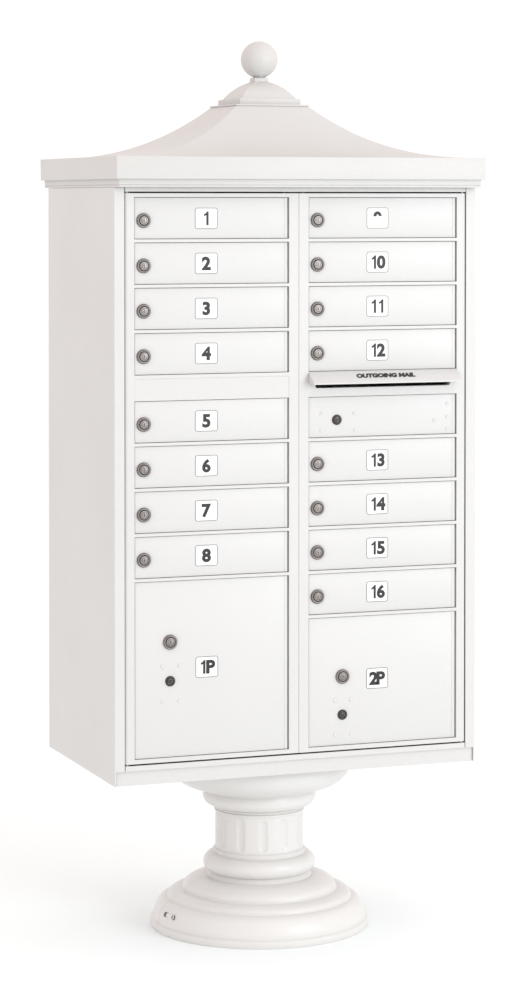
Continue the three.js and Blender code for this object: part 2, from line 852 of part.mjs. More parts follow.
place('side_panel_left', sidePanel(-1), 'cabinetWhite');
place('side_panel_right', sidePanel(1), 'cabinetWhite');
place('back_panel', backPanel(), 'cabinetWhite');
place('top_panel', topPanel(), 'cabinetWhite');
place('floor_panel', floorPanel(), 'cabinetWhite');
place('compartment_rack_left', rack('left'), 'bareAluminium');
place('compartment_rack_right', rack('right'), 'bareAluminium');
place('roof_cap', roofCap(), 'roofWhite');
place('roof_cupola', roofCupola(), 'roofWhite');
place('finial_ball', finialBall(), 'roofWhite');
place('pedestal_post', pedestalPost(), 'postSteel');
place('pedestal_cover_front', coverHalf(-1), 'pedestalWhite');
place('pedestal_cover_rear', coverHalf(1), 'pedestalWhite');
place('outgoing_mail_hood', outgoingHood(), 'cabinetWhite');

for (const column of ['left', 'right']) {
  place(`loading_frame_${column}`, loadingFrame(column), 'cabinetWhite');
  place(`door_hinge_rod_${column}`, hingeRod(column), 'rodSteel');
  place(`latch_bar_${column}`, latchBar(column === 'left' ? -1 : 1), 'rodSteel');
  for (const cell of columnCells(column)) {
    place(cell.name, door(cell, column), 'cabinetWhite');
    for (const lock of locksOf(cell, column)) place(lock.name, lockSolid(lock), 'lockNickel');
  }
}

export default unit;
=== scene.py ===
import bmesh
import bpy
import json
import math
from mathutils import Matrix, Vector

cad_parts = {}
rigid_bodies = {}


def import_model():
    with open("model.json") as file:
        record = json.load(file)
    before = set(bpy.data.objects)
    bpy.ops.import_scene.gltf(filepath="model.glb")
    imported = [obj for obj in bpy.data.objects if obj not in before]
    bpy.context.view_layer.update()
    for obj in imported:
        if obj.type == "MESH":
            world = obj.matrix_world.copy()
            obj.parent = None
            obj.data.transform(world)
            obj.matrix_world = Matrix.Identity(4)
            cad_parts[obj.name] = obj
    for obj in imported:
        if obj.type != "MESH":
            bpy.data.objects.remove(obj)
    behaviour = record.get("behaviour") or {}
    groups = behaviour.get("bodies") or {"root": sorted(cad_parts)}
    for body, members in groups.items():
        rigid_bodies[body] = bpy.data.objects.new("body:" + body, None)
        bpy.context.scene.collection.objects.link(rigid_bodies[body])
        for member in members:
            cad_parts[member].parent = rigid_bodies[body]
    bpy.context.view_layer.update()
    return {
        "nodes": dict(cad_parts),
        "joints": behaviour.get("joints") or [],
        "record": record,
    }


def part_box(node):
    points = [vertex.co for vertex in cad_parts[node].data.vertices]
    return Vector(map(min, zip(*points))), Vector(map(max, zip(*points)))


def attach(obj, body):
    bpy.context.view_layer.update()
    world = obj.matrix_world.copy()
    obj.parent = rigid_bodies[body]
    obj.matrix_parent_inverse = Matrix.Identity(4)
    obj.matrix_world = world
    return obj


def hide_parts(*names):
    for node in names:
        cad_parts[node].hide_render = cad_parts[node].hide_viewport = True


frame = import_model()
mm = 0.001  # sizes below are in millimetres unless a line says otherwise
behaviour = frame["record"]["behaviour"]
bodyOf = {node: body for body, nodes in behaviour["bodies"].items() for node in nodes}
jointTo = {joint["child"]: joint for joint in frame["joints"]}
print("stage: frame loaded,", len(frame["nodes"]), "nodes")

# camera, floor and light
camera = {
    "place": (-2.1118, -5.6705, 1.5011),  # metres
    "aim": (0.0085, -0.0032, 1.3561),
    "lens": 106.19,
    "shift": -0.2252,
}
studio = {
    "floorHalf": 30.0,  # metres
    "world": (1.0, 0.94, 0.925),
    "worldStrength": 1.1,
    "keyPlace": (3.0, -5.6, 2.2),
    "keyPower": 128.0,
    "keySize": 2.6,
    "keyColour": (0.86, 0.98, 1.0),
    "topPlace": (1.5, -3.0, 5.0),
    "topPower": 10.0,
    "topSize": 2.5,
    "lampAim": (0, 0, 0.9),
}


def makeCamera():
    data = bpy.data.cameras.new("camera")
    data.lens, data.shift_y = camera["lens"], camera["shift"]
    view = bpy.data.objects.new("camera", data)
    view.location = camera["place"]
    toward = Vector(camera["aim"]) - Vector(camera["place"])
    view.rotation_euler = toward.to_track_quat("-Z", "Y").to_euler()
    bpy.context.scene.collection.objects.link(view)
    bpy.context.scene.camera = view


def areaLight(name, place, power, size, colour=(1, 1, 1)):
    data = bpy.data.lights.new(name, "AREA")
    data.energy, data.size, data.color = power, size, colour
    lamp = bpy.data.objects.new(name, data)
    lamp.location = place
    lamp.rotation_euler = (Vector(studio["lampAim"]) - Vector(place)).to_track_quat("-Z", "Y").to_euler()
    bpy.context.scene.collection.objects.link(lamp)


makeCamera()
areaLight("keyLight", studio["keyPlace"], studio["keyPower"], studio["keySize"], studio["keyColour"])
areaLight("topLight", studio["topPlace"], studio["topPower"], studio["topSize"])
world = bpy.data.worlds.new("studioWorld")
bpy.context.scene.world = world
world.use_nodes = True
world.node_tree.nodes["Background"].inputs["Color"].default_value = (*studio["world"], 1)
world.node_tree.nodes["Background"].inputs["Strength"].default_value = studio["worldStrength"]
bpy.context.scene.view_settings.view_transform = "Standard"
print("stage: camera and lights")


# expressions on sockets
def plug(tree, slot, item):
    if isinstance(item, Value):
        tree.links.new(item.socket, slot)
    else:
        slot.default_value = item


def socketNamed(sockets, name):
    for socket in sockets:
        if socket.identifier == name:
            return socket
    return sockets[name]


class Value:
    def __init__(self, tree, socket):
        self.tree, self.socket = tree, socket

    def math(self, operation, left, right=0.0):
        node = self.tree.nodes.new("ShaderNodeMath")
        node.operation = operation
        plug(self.tree, node.inputs[0], left)
        plug(self.tree, node.inputs[1], right)
        return Value(self.tree, node.outputs[0])

    def __add__(self, other):
        return self.math("ADD", self, other)

    def __sub__(self, other):
        return self.math("SUBTRACT", self, other)

    def __rsub__(self, other):
        return self.math("SUBTRACT", other, self)

    def __mul__(self, other):
        return self.math("MULTIPLY", self, other)

    def __truediv__(self, other):
        return self.math("DIVIDE", self, other)

    def __rtruediv__(self, other):
        return self.math("DIVIDE", other, self)

    def __pow__(self, other):
        return self.math("POWER", self, other)

    __radd__ = __add__
    __rmul__ = __mul__

    def most(self, other):
        return self.math("MAXIMUM", self, other)

    def least(self, other):
        return self.math("MINIMUM", self, other)

    def clamped(self):
        return self.most(0.0).least(1.0)

    def root(self):
        return self.math("SQRT", self)


class Graph:
    def __init__(self, tree):
        self.tree = tree

    # settings go on the node first, then values or links go in its sockets
    def node(self, kind, settings=None, sockets=None, out=0):
        node = self.tree.nodes.new(kind)
        for name, value in (settings or {}).items():
            if name == "stops":
                ramp = node.color_ramp.elements
                while len(ramp) < len(value):
                    ramp.new(0.5)
                for element, (place, colour) in zip(ramp, value):
                    element.position, element.color = place, colour
            else:
                setattr(node, name, value)
        for name, item in (sockets or {}).items():
            plug(self.tree, socketNamed(node.inputs, name), item)
        outputs = node.outputs
        return Value(self.tree, outputs[out] if isinstance(out, int) else socketNamed(outputs, out))


def rgba(colour):
    return (*colour, 1.0)


class Finish(Graph):
    def __init__(self, name):
        self.material = bpy.data.materials.new(name)
        self.material.use_nodes = True
        super().__init__(self.material.node_tree)
        self.shader = self.tree.nodes["Principled BSDF"]
        self.place = self.node("ShaderNodeTexCoord", out="Object")

    def noise(self, scale, detail=2.0, roughness=0.5, vector=None):
        sockets = {"Vector": vector or self.place, "Scale": scale, "Detail": detail, "Roughness": roughness}
        return self.node("ShaderNodeTexNoise", sockets=sockets)

    def stretched(self, scale):
        return self.node("ShaderNodeMapping", sockets={"Vector": self.place, "Scale": scale})

    def mix(self, share, first, second):
        sockets = {
            "Factor_Float": share,
            "A_Color": first if isinstance(first, Value) else rgba(first),
            "B_Color": second if isinstance(second, Value) else rgba(second),
        }
        return self.node("ShaderNodeMix", {"data_type": "RGBA"}, sockets, "Result_Color")

    # 0 on flats and 1 on edges that stand out
    def edges(self, radius):
        soft = self.node("ShaderNodeBevel", {"samples": 4}, {"Radius": radius})
        flat = self.node("ShaderNodeNewGeometry", out="Normal")
        dot = self.node("ShaderNodeVectorMath", {"operation": "DOT_PRODUCT"}, {0: soft, 1: flat}, "Value")
        return ((1.0 - dot) * 3.0).clamped()

    # 1 in the open and 0 in tight corners
    def open(self, distance):
        return self.node("ShaderNodeAmbientOcclusion", {"samples": 6}, {"Distance": distance}, "AO")

    def bump(self, height, strength, distance, normal=None):
        sockets = {"Height": height, "Strength": strength, "Distance": distance}
        if normal:
            sockets["Normal"] = normal
        return self.node("ShaderNodeBump", sockets=sockets)

    def done(self, colour, roughness, normal=None, metallic=0.0, fixed=None):
        plug(self.tree, self.shader.inputs["Base Color"], colour)
        plug(self.tree, self.shader.inputs["Roughness"], roughness)
        self.shader.inputs["Metallic"].default_value = metallic
        for name, value in (fixed or {}).items():
            self.shader.inputs[name].default_value = value
        if normal:
            self.tree.links.new(normal.socket, self.shader.inputs["Normal"])
        return self.material


# finishes
powderCoat = {
    "cabinet": {"base": (0.655, 0.646, 0.64), "shade": (0.58, 0.563, 0.556), "rough": 0.42, "peel": 1.0},
    "door": {"base": (0.67, 0.664, 0.66), "shade": (0.60, 0.587, 0.581), "rough": 0.40, "peel": 0.9},
    "roof": {"base": (0.64, 0.628, 0.617), "shade": (0.565, 0.547, 0.536), "rough": 0.46, "peel": 1.2},
    "pedestal": {"base": (0.755, 0.742, 0.73), "shade": (0.68, 0.66, 0.646), "rough": 0.33, "peel": 0.6},
    "postPaint": {"base": (0.66, 0.65, 0.64), "shade": (0.56, 0.55, 0.54), "rough": 0.5, "peel": 1.4},
}


def paintFinish(name):
    look = powderCoat[name]
    finish = Finish(name + "White")
    cloud = finish.noise(3.2, 3.0, 0.55)
    speck = finish.noise(420.0, 2.0, 0.6)
    peel = finish.noise(650.0, 1.5, 0.5)
    # painted shade: the colour darkens in corners and creases, where shade falls
    corner = 1.0 - finish.open(0.012)
    # painted highlight: edges that stand out get a lighter colour and a smoother finish
    paintedEdgeHighlight = finish.edges(0.0012)
    grain = finish.noise(300.0, 3.0, 0.75)
    tone = ((cloud - 0.42) * 0.8 + (speck - 0.5) * 0.8 + (grain - 0.5) * 1.3 + 0.25).clamped()
    colour = finish.mix(tone * 0.7, look["base"], look["shade"])
    # painted shade mixed into corners and creases
    colour = finish.mix(corner * 0.5, colour, tuple(part * 0.62 for part in look["shade"]))
    # painted highlight along edges that stand out
    colour = finish.mix(paintedEdgeHighlight * 0.3, colour, (0.95, 0.945, 0.94))
    roughness = look["rough"] + (cloud - 0.5) * 0.14 + (speck - 0.5) * 0.08 - paintedEdgeHighlight * 0.06
    soft = finish.node("ShaderNodeBevel", {"samples": 4}, {"Radius": 0.0006})
    normal = finish.bump(peel * 0.7 + speck * 0.3, 0.22 * look["peel"], 0.00025, soft)
    return finish.done(colour, roughness, normal, fixed={"IOR": 1.5})


def nickelFinish(name, dark, light):
    finish = Finish(name)
    # each point's distance from its lock's axis, in millimetres
    ring = finish.node("ShaderNodeAttribute", {"attribute_name": "fromAxis"}, out="Fac")
    oneWay = {"noise_dimensions": "1D"}
    turned = finish.node("ShaderNodeTexNoise", oneWay, {"W": ring * 2.6, "Scale": 1.0, "Detail": 3.0})
    fine = finish.node("ShaderNodeTexNoise", oneWay, {"W": ring * 17.0, "Scale": 1.0, "Detail": 2.0})
    dull = finish.noise(260.0, 3.0, 0.6)
    # painted shade: crevices round the lock are darkened towards black, where shade falls
    corner = 1.0 - finish.open(0.004)
    # painted highlight: edges that stand out are painted bright
    paintedEdgeHighlight = finish.edges(0.0006)
    colour = finish.mix((turned * 1.7 - 0.4).clamped(), dark, light)
    # painted shade in the crevices
    colour = finish.mix((corner * 1.8).clamped(), colour, (0.02, 0.017, 0.016))
    # painted highlight along the lock's edges
    colour = finish.mix(paintedEdgeHighlight * 0.6, colour, (0.86, 0.83, 0.81))
    roughness = 0.24 + fine * 0.16 + (dull - 0.5) * 0.2 + corner * 0.2
    normal = finish.bump(fine + turned * 0.6, 0.35, 0.0002)
    return finish.done(colour, roughness, normal, metallic=0.9)


def steelFinish(name, light, dark, grain, rough):
    finish = Finish(name)
    brushed = finish.noise(1.0, 3.0, 0.6, finish.stretched(grain))
    cloud = finish.noise(9.0, 3.0)
    # painted shade: corners and creases are darkened where shade falls
    corner = 1.0 - finish.open(0.01)
    colour = finish.mix((brushed * 0.8 + (cloud - 0.5) * 0.6).clamped(), light, dark)
    colour = finish.mix(corner * 0.6, colour, (0.08, 0.075, 0.07))
    roughness = rough + (brushed - 0.5) * 0.18 + (cloud - 0.5) * 0.12
    return finish.done(colour, roughness, finish.bump(brushed, 0.15, 0.0002), metallic=0.85)


def inkFinish(name, base, shade, rough):
    finish = Finish(name)
    speck = finish.noise(900.0, 2.0)
    cloud = finish.noise(60.0, 2.0)
    colour = finish.mix((speck * 0.6 + cloud * 0.4).clamped(), base, shade)
    roughness = rough + (speck - 0.5) * 0.15
    return finish.done(colour, roughness, finish.bump(speck, 0.1, 0.0001))


paint = {name: paintFinish(name) for name in powderCoat}
nickel = nickelFinish("lockNickel", (0.06, 0.05, 0.047), (0.50, 0.455, 0.435))
darkNickel = nickelFinish("carrierLockNickel", (0.012, 0.01, 0.01), (0.13, 0.11, 0.105))
rackMetal = steelFinish("rackAluminium", (0.70, 0.71, 0.72), (0.52, 0.53, 0.54), (4.0, 260.0, 260.0), 0.42)
barMetal = steelFinish("zincBar", (0.60, 0.61, 0.62), (0.40, 0.41, 0.42), (300.0, 300.0, 6.0), 0.34)
# painted shade: the keyway's walls and floor are painted near black for the shade inside the slot
paintedKeywayShade = inkFinish("paintedKeywayShade", (0.012, 0.011, 0.01), (0.03, 0.028, 0.026), 0.5)
numberInk = inkFinish("numberInk", (0.006, 0.006, 0.007), (0.022, 0.021, 0.021), 0.45)
plateWhite = inkFinish("plateWhite", (0.93, 0.925, 0.92), (0.88, 0.872, 0.865), 0.35)
plateEdge = inkFinish("plateEdge", (0.10, 0.09, 0.088), (0.20, 0.18, 0.175), 0.5)
print("stage: finishes")


# a mesh put together from lofted loops
class Shape:
    def __init__(self):
        self.points, self.faces, self.paints = [], [], []

    def face(self, corners, paint):
        self.faces.append(tuple(corners))
        self.paints.append(paint)

    # rows of points joined to each other; `paints` holds one paint for each gap between rows
    def loft(self, rows, caps=(0, 0), closedRows=True, closedLoft=False, paints=None):
        first, count, total = len(self.points), len(rows[0]), len(rows)
        for row in rows:
            self.points.extend(row)
        for i in range(total if closedLoft else total - 1):
            paint = paints[i] if paints else 0
            here, after = first + i * count, first + ((i + 1) % total) * count
            for j in range(count if closedRows else count - 1):
                k = (j + 1) % count
                self.face((here + j, here + k, after + k, after + j), paint)
        if caps[0] is not None and not closedLoft:
            self.face([first + j for j in reversed(range(count))], caps[0])
        if caps[1] is not None and not closedLoft:
            self.face([first + (total - 1) * count + j for j in range(count)], caps[1])

    def mesh(self, name, sharp=34.0, attribute=None):
        mesh = bpy.data.meshes.new(name)
        mesh.from_pydata(self.points, [], self.faces)
        mesh.polygons.foreach_set("material_index", self.paints)
        work = bmesh.new()
        work.from_mesh(mesh)
        bmesh.ops.remove_doubles(work, verts=work.verts, dist=1e-6)
        bmesh.ops.recalc_face_normals(work, faces=work.faces)
        work.to_mesh(mesh)
        work.free()
        mesh.polygons.foreach_set("use_smooth", [True] * len(mesh.polygons))
        mesh.set_sharp_from_angle(angle=math.radians(sharp))
        if attribute:
            layer = mesh.attributes.new(attribute[0], "FLOAT", "POINT")
            layer.data.foreach_set("value", [attribute[1](vertex.co) for vertex in mesh.vertices])
        return mesh


pieceCount = 0


def addPiece(name, mesh, materials, body, replaced=()):
    global pieceCount
    for material in materials:
        mesh.materials.append(material)
    piece = bpy.data.objects.new(name, mesh)
    bpy.context.scene.collection.objects.link(piece)
    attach(piece, body)
    if replaced:
        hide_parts(*replaced)
    pieceCount += 1
    return piece


def circleAlongY(x, z, radius, y, count):
    turn = 2 * math.pi / count
    return [(x + radius * math.cos(i * turn), y, z + radius * math.sin(i * turn)) for i in range(count)]


def roundedRectangle(halfWidth, halfHeight, radius, steps):
    points = []
    for quarter, (sx, sy) in enumerate(((1, 1), (-1, 1), (-1, -1), (1, -1))):
        for i in range(steps + 1):
            angle = math.pi / 2 * (quarter + i / steps)
            x = sx * (halfWidth - radius) + radius * math.cos(angle)
            points.append((x, sy * (halfHeight - radius) + radius * math.sin(angle)))
    return points


# a finished object's evaluated mesh, with its modifiers gone
def bakedMesh(piece, name):
    graph = bpy.context.evaluated_depsgraph_get()
    mesh = bpy.data.meshes.new_from_object(piece.evaluated_get(graph))
    mesh.name = name
    old = piece.data
    bpy.data.objects.remove(piece)
    if old.users == 0:
        (bpy.data.meshes if isinstance(old, bpy.types.Mesh) else bpy.data.curves).remove(old)
    return mesh


# the pedestal cover: a turned half shell whose flutes are pressed in by a node tree
cover = {
    "wall": 4.0, "seam": 0.9, "turns": 156, "arcSteps": 12, "innerSteps": 4,
    "rim": (226.0, 14.0),
    "bulges": ((221.0, 193.0, 16.0, 59.0), (191.0, 162.0, 61.0, 75.0), (160.0, 109.0, 77.0, 103.0)),
    "torus": (97.0, 19.3, 130.0),
    "collarLow": (95.5, 158.0),
    "shaft": (91.0, 161.0, 234.0),
    "fillets": ((93.5, 236.0, 242.0), (95.0, 243.5, 249.0)),
    "ovolo": (117.5, 95.0, 249.0, 271.0),
    "lip": (114.5, 281.0, 120.5, 282.0, 287.0),
    "bowl": (121.0, 190.0, 288.0, 340.0),
    "top": 350.8, "hole": 76.8,
    "flutes": 12, "fluteWidth": 17.0, "fluteDepth": 3.2, "fluteLow": 165.0, "fluteHigh": 230.0,
}


def arcPoints(centreR, centreZ, radiusR, radiusZ, start, end, steps):
    angles = [math.radians(start + (end - start) * i / steps) for i in range(steps + 1)]
    return [(centreR + radiusR * math.cos(a), centreZ + radiusZ * math.sin(a)) for a in angles]


def coverProfile(inset, low, high, steps):
    c = cover
    rimRadius, rimHeight = c["rim"][0] - inset, c["rim"][1] - inset
    points = [(rimRadius - 0.8, low), (rimRadius, low + 0.8)]
    points += [(rimRadius, rimHeight - 1), (rimRadius - 1, rimHeight)]
    for outer, inner, start, end in c["bulges"]:
        points += arcPoints(inner - inset, start - inset, outer - inner, end - start, 0, 90, steps)
    radius, tube, height = c["torus"]
    points += arcPoints(radius - inset, height, tube, tube, -70, 85, steps + 4)
    collarRadius, collarTop = c["collarLow"]
    points += [(collarRadius - inset, height + tube + 1), (collarRadius - inset, collarTop)]
    radius, start, end = c["shaft"]
    levels = 30 if inset == 0 else 1
    points += [(radius - inset, start + (end - start) * i / levels) for i in range(levels + 1)]
    for radius, start, end in c["fillets"]:
        points += arcPoints(radius - 3 - inset, (start + end) / 2, 3, (end - start) / 2, -80, 80, 6)
    outer, inner, start, end = c["ovolo"]
    points += arcPoints(inner - inset, end + inset, outer - inner, end - start, -80, 0, steps)
    neck, neckZ, radius, start, end = c["lip"]
    points += [(neck - inset, neckZ + inset), (radius - inset, start + inset), (radius - inset, end + inset)]
    inner, outer, start, end = c["bowl"]
    points += arcPoints(inner - inset, end + inset, outer - inner, end - start, -90, 0, steps + 4)
    points.append((outer - inset, high))
    return points


def fluteTree():
    tree = bpy.data.node_groups.new("pressedFlutes", "GeometryNodeTree")
    tree.interface.new_socket("Geometry", in_out="OUTPUT", socket_type="NodeSocketGeometry")
    tree.interface.new_socket("Geometry", in_out="INPUT", socket_type="NodeSocketGeometry")
    names = ("Flute count", "Flute width", "Flute depth", "Lowest point", "Highest point", "Shaft radius")
    for name in names:
        tree.interface.new_socket(name, in_out="INPUT", socket_type="NodeSocketFloat")
    tree.interface.new_socket("Finish", in_out="INPUT", socket_type="NodeSocketMaterial")
    graph = Graph(tree)
    given = tree.nodes.new("NodeGroupInput")
    value = {name: Value(tree, given.outputs[name]) for name in ("Geometry", "Finish", *names)}
    place = graph.node("GeometryNodeInputPosition")
    split = tree.nodes.new("ShaderNodeSeparateXYZ")
    plug(tree, split.inputs[0], place)
    x, y, z = (Value(tree, output) for output in split.outputs)
    away = (x * x + y * y).root()
    angle = x.math("ARCTAN2", y, x)
    step = 2 * math.pi / value["Flute count"]
    share = angle.math("FRACT", angle / step)
    across = angle.math("ABSOLUTE", share - 0.5) * step * away
    half = value["Flute width"] * 0.5
    middle = (value["Lowest point"] + value["Highest point"]) * 0.5
    reach = (value["Highest point"] - value["Lowest point"]) * 0.5 - half
    along = (z.math("ABSOLUTE", z - middle) - reach).most(0.0)
    distance = (across * across + along * along).root() / half
    hollow = (1.0 - distance * distance).most(0.0).root()
    onShaft = 1.0 - z.math("GREATER_THAN", z.math("ABSOLUTE", away - value["Shaft radius"]), 0.0005)
    push = hollow * value["Flute depth"] * onShaft * -1.0
    flat = graph.node("ShaderNodeCombineXYZ", sockets={"X": x, "Y": y})
    outward = graph.node("ShaderNodeVectorMath", {"operation": "NORMALIZE"}, {0: flat}, "Vector")
    offset = graph.node("ShaderNodeVectorMath", {"operation": "SCALE"}, {0: outward, "Scale": push}, "Vector")
    moved = graph.node("GeometryNodeSetPosition", sockets={"Geometry": value["Geometry"], "Offset": offset})
    whole = graph.node("GeometryNodeRealizeInstances", sockets={"Geometry": moved})
    dressed = graph.node("GeometryNodeSetMaterial", sockets={"Geometry": whole, "Material": value["Finish"]})
    result = tree.nodes.new("NodeGroupOutput")
    tree.links.new(dressed.socket, result.inputs["Geometry"])
    return tree


# gives a modifier its tree and inputs, all set before anything is evaluated
def addTree(piece, tree, inputs):
    modifier = piece.modifiers.new(tree.name, "NODES")
    modifier.node_group = tree
    for item in tree.interface.items_tree:
        if item.item_type == "SOCKET" and item.in_out == "INPUT" and item.name in inputs:
            modifier[item.identifier] = inputs[item.name]
    return modifier


def coverHalf(side, name, node, tree):
    top, under = cover["top"], cover["top"] - cover["wall"]
    outer = coverProfile(0, 0, top, cover["arcSteps"])
    inner = coverProfile(cover["wall"], 0, under, cover["innerSteps"])
    profile = outer + [(cover["hole"], top), (cover["hole"], under)] + inner[::-1]
    turns = cover["turns"]
    rows = []
    for i in range(turns + 1):
        angle = math.pi * i / turns
        c, s = math.cos(angle), math.sin(angle)
        rows.append([(r * c * mm, side * (r * s + cover["seam"] / 2) * mm, z * mm) for r, z in profile])
    shape = Shape()
    shape.loft(rows)
    piece = bpy.data.objects.new("coverBlank", shape.mesh("coverBlank"))
    bpy.context.scene.collection.objects.link(piece)
    inputs = {
        "Flute count": float(cover["flutes"]), "Flute width": cover["fluteWidth"] * mm,
        "Flute depth": cover["fluteDepth"] * mm, "Lowest point": cover["fluteLow"] * mm,
        "Highest point": cover["fluteHigh"] * mm, "Shaft radius": cover["shaft"][0] * mm,
        "Finish": paint["pedestal"],
    }
    addTree(piece, tree, inputs)
    mesh = bakedMesh(piece, name)
    mesh.materials.clear()
    addPiece(name, mesh, [paint["pedestal"]], bodyOf[node], [node])


flutes = fluteTree()
coverHalf(-1, "coverFront", "pedestal_cover_front", flutes)
coverHalf(1, "coverRear", "pedestal_cover_rear", flutes)

# oblong slot for the screw that holds the two halves together
fastener = {
    "angle": 191.5, "radius": 216.4, "height": 40.0, "lean": 23.7, "length": 50.0, "width": 14.0,
    "rim": 1.1, "rimWidth": 1.6, "floor": 0.5, "sunk": 3.0, "screw": 4.4, "screwAcross": -13.0,
}


def onCover(across, up, out):
    turn = math.radians(fastener["angle"]) - across / fastener["radius"]
    lean = math.radians(fastener["lean"])
    out -= up * up / 120
    radial = fastener["radius"] + out * math.cos(lean) - up * math.sin(lean)
    height = fastener["height"] + out * math.sin(lean) + up * math.cos(lean)
    return radial * math.cos(turn) * mm, radial * math.sin(turn) * mm, height * mm


def fastenerMesh():
    f, shape = fastener, Shape()

    def oblong(inset, out):
        half, end = f["length"] / 2 - inset, f["width"] / 2 - inset
        return [onCover(a, b, out) for a, b in roundedRectangle(half, end, end - 0.01, 8)]

    shape.loft([
        oblong(0.0, -f["sunk"]), oblong(0.0, f["rim"] - 0.4), oblong(0.4, f["rim"]),
        oblong(f["rimWidth"], f["rim"]), oblong(f["rimWidth"] + 0.3, f["floor"]),
    ], caps=(0, 1))
    head = ((f["screw"], 0.0), (f["screw"], f["floor"] + 0.7), (f["screw"] * 0.7, f["floor"] + 1.3))
    rows = []
    for radius, out in head:
        ring = circleAlongY(f["screwAcross"], 0, radius, 0, 20)
        rows.append([onCover(across, up, out) for across, _, up in ring])
    shape.loft(rows, caps=(2, 2))
    return shape.mesh("coverFastener", 30.0)


# painted shade: the floor of the fastener slot is painted dark for the shade inside the slot
paintedSlotShade = inkFinish("slotShadow", (0.10, 0.094, 0.09), (0.2, 0.19, 0.185), 0.6)
fastenerLook = [paint["pedestal"], paintedSlotShade, nickel]  # rim, floor of the slot, screw
addPiece("coverFastener", fastenerMesh(), fastenerLook, bodyOf["pedestal_cover_front"])
print("stage: pedestal cover")

# roof, cupola and ball
roof = {
    "halfX": 394.5, "halfY": 265.6, "cabinetX": 387.35, "trimY": 257.6, "mouthX": 362.4, "mouthY": 203.7,
    "bottom": 1530.0, "fascia": 1546.0, "eave": 1590.5, "top": 1697.2, "topHalf": 80.0,
    "curve": 2.45, "steps": 40, "wall": 3.0, "corner": 2.2,
}


def squareRow(halfX, halfY, z, radius, steps=3):
    outline = roundedRectangle(halfX, halfY, min(radius, halfX, halfY), steps)
    return [(x * mm, y * mm, z * mm) for x, y in outline]


def sweepRows(inset, drop):
    rows = []
    for i in range(roof["steps"] + 1):
        run = i / roof["steps"]
        rise = run ** roof["curve"]
        halfX = roof["halfX"] - inset + (roof["topHalf"] - roof["halfX"]) * run
        halfY = roof["halfY"] - inset + (roof["topHalf"] - roof["halfY"]) * run
        z = roof["eave"] - drop + (roof["top"] - roof["eave"]) * rise
        rows.append(squareRow(halfX, halfY, z, roof["corner"]))
    return rows


def roofShell():
    r, wall, corner = roof, roof["wall"], roof["corner"]
    outer = [
        (r["cabinetX"] - 0.6, r["trimY"] - 0.6, r["bottom"]),
        (r["cabinetX"], r["trimY"], r["bottom"] + 0.6),
        (r["cabinetX"], r["trimY"], r["bottom"] + 3.6),
        (r["cabinetX"] - 0.9, r["trimY"] - 0.9, r["bottom"] + 4.0),
        (r["cabinetX"] - 0.9, r["trimY"] - 0.9, r["bottom"] + 4.8),
        (r["cabinetX"], r["trimY"], r["bottom"] + 5.2),
        (r["cabinetX"], r["trimY"], r["fascia"]),
        (r["halfX"] - 1.6, r["halfY"] - 1.6, r["fascia"]),
        (r["halfX"] - 0.9, r["halfY"] - 0.9, r["fascia"] + 0.5),
        (r["halfX"] - 0.7, r["halfY"] - 0.7, r["fascia"] + 1.4),
        (r["halfX"] - 0.1, r["halfY"] - 0.1, r["eave"] - 1.2),
        (r["halfX"] - 0.3, r["halfY"] - 0.3, r["eave"] - 0.4),
    ]
    inner = [
        (r["mouthX"], r["mouthY"], r["bottom"]),
        (r["mouthX"], r["mouthY"], r["bottom"] + wall),
        (r["cabinetX"] - wall, r["trimY"] - wall, r["bottom"] + wall),
        (r["cabinetX"] - wall, r["trimY"] - wall, r["fascia"] + wall),
        (r["halfX"] - wall, r["halfY"] - wall, r["fascia"] + wall),
    ]
    rows = [squareRow(x, y, z, corner) for x, y, z in reversed(inner)]
    rows = sweepRows(wall, wall)[::-1] + rows
    rows += [squareRow(x, y, z, corner) for x, y, z in outer] + sweepRows(0.9, 0)
    shape = Shape()
    shape.loft(rows)
    return shape.mesh("roofShell", 24.0)


cupola = {
    "bottom": 1697.5, "step": 80.0, "stepHeight": 3.3, "plinth": 66.5, "plinthHeight": 12.4, "bell": 59.5,
    "bellTop": 16.6, "bellHeight": 35.3, "bellArc": (32.0, 68.0), "neck": 15.0, "neckHeight": 9.0,
    "corner": 1.2, "hollow": 49.0,
}


def cupolaMesh():
    c, rows = cupola, []
    z = c["bottom"]
    bellBottom = z + c["stepHeight"] + c["plinthHeight"]
    rows.append((c["hollow"], bellBottom))
    rows += [(c["hollow"], z), (c["step"], z), (c["step"], z + c["stepHeight"] - 0.5)]
    z += c["stepHeight"]
    rows += [(c["step"] - 0.6, z), (c["plinth"], z), (c["plinth"], z + c["plinthHeight"] - 0.8)]
    rows += [(c["plinth"] - 0.3, bellBottom - 0.2), (c["plinth"] - 1, bellBottom), (c["bell"], bellBottom)]
    start, end = (math.radians(angle) for angle in c["bellArc"])
    across = (c["bell"] - c["bellTop"]) / (math.cos(start) - math.cos(end))
    up = c["bellHeight"] / (math.sin(end) - math.sin(start))
    middle, foot = c["bell"] - across * math.cos(start), bellBottom - up * math.sin(start)
    rows += arcPoints(middle, foot, across, up, *c["bellArc"], 18)
    z = bellBottom + c["bellHeight"]
    rows += [(c["neck"] + 0.7, z + 0.3), (c["neck"], z + 1.2), (c["neck"], z + c["neckHeight"] - 0.6)]
    rows += [(c["neck"] - 0.6, z + c["neckHeight"])]
    shape = Shape()
    shape.loft([squareRow(half, half, height, c["corner"]) for half, height in rows])
    return shape.mesh("cupola", 26.0)


finial = {
    "foot": 13.0, "footHeight": 2.2, "radius": 38.1, "base": 1757.8, "stud": 5.0, "studDown": 50.0,
    "turns": 72,
}


def turnedRows(profile, turns, x=0.0, y=0.0):
    step = 2 * math.pi / turns
    return [
        [((x + r * math.cos(i * step)) * mm, (y + r * math.sin(i * step)) * mm, z * mm) for i in range(turns)]
        for r, z in profile
    ]


